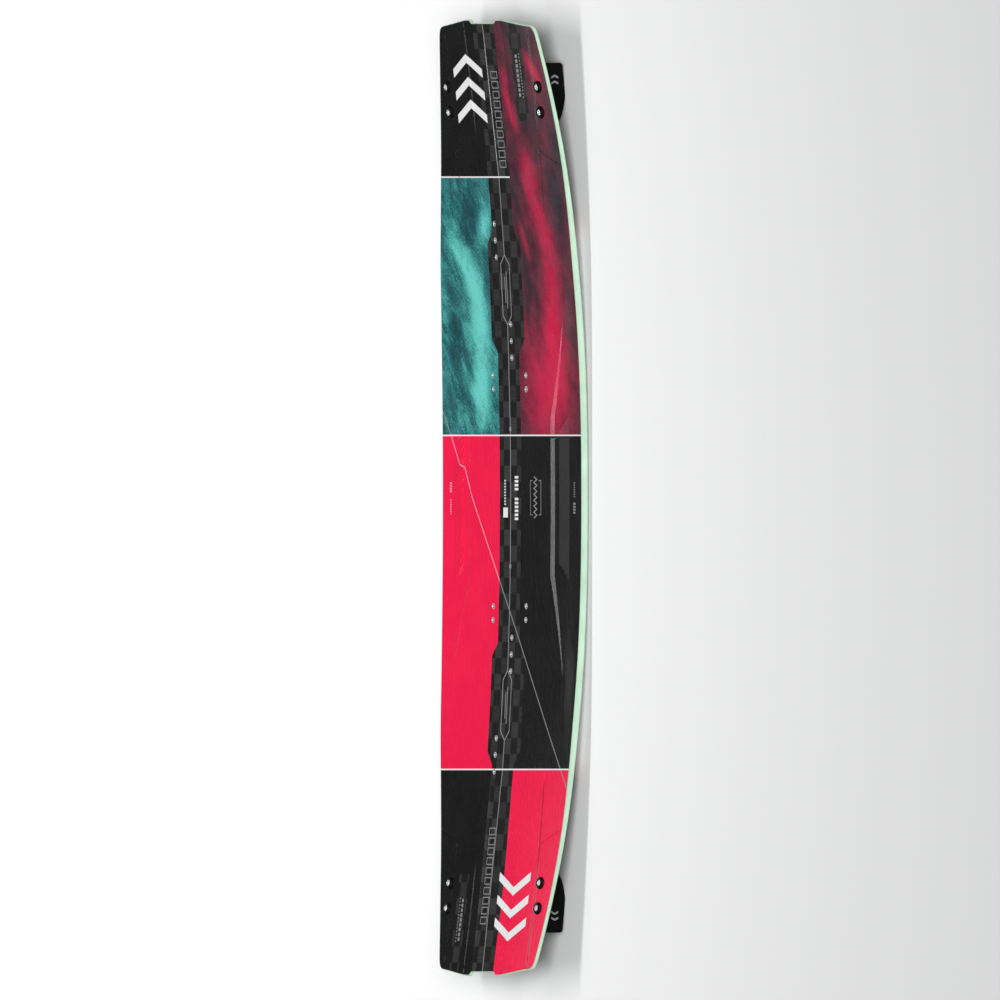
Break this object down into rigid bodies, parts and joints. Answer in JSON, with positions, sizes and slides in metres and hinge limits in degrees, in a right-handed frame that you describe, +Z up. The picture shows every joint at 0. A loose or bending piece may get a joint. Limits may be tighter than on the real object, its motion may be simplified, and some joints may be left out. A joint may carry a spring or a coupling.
{
  "type": "kiteboard",
  "caption": "Twin-tip kiteboard: rockered sandwich deck with milled rails, bolt-on fins and threaded inserts for foot pads.",
  "frame": {"origin": "on the floor plane touched by the fins, below the middle of the deck", "axes": "+X along the board towards the left tip, +Y towards the heel side, +Z up out of the deck"},
  "size_m": [1.45, 0.435, 0.0668],
  "materials": {
    "deck_film": "clear printed polyamide film with a satin gloss: bright red, black, teal and dark maroon fields with white pinstripes",
    "base_film": "smooth gliding film, satin",
    "laminate": "glass fibre in resin",
    "carbon": "spread-tow carbon fibre, checkered",
    "core_wood": "glued paulownia strips",
    "rail_abs": "mint green, milled",
    "insert_steel": "turned",
    "bush_brass": "turned",
    "screw_steel": "polished stainless",
    "washer_nylon": "moulded, black",
    "fin_nylon": "glass-filled nylon, black"
  },
  "bodies": {
    "root": {"base_laminate": "laminate", "base_sheet": "base_film", "carbon_patch_left": "carbon", "carbon_patch_right": "carbon", "carbon_strip_centre": "carbon", "deck_laminate": "laminate", "fin_bushes_left_heel": "bush_brass", "fin_bushes_left_toe": "bush_brass", "fin_bushes_right_heel": "bush_brass", "fin_bushes_right_toe": "bush_brass", "fin_left_heel": "fin_nylon", "fin_left_toe": "fin_nylon", "fin_right_heel": "fin_nylon", "fin_right_toe": "fin_nylon", "fin_screws_left_heel": "screw_steel", "fin_screws_left_toe": "screw_steel", "fin_screws_right_heel": "screw_steel", "fin_screws_right_toe": "screw_steel", "fin_washers_left_heel": "washer_nylon", "fin_washers_left_toe": "washer_nylon", "fin_washers_right_heel": "washer_nylon", "fin_washers_right_toe": "washer_nylon", "handle_inserts_left": "insert_steel", "handle_inserts_right": "insert_steel", "inner_pad_inserts_left": "insert_steel", "inner_pad_inserts_right": "insert_steel", "outer_pad_inserts_left": "insert_steel", "outer_pad_inserts_right": "insert_steel", "rail_heel_side": "rail_abs", "rail_left_tip": "rail_abs", "rail_right_tip": "rail_abs", "rail_toe_side": "rail_abs", "topsheet": "deck_film", "wood_core": "core_wood"}
  },
  "joints": []
}
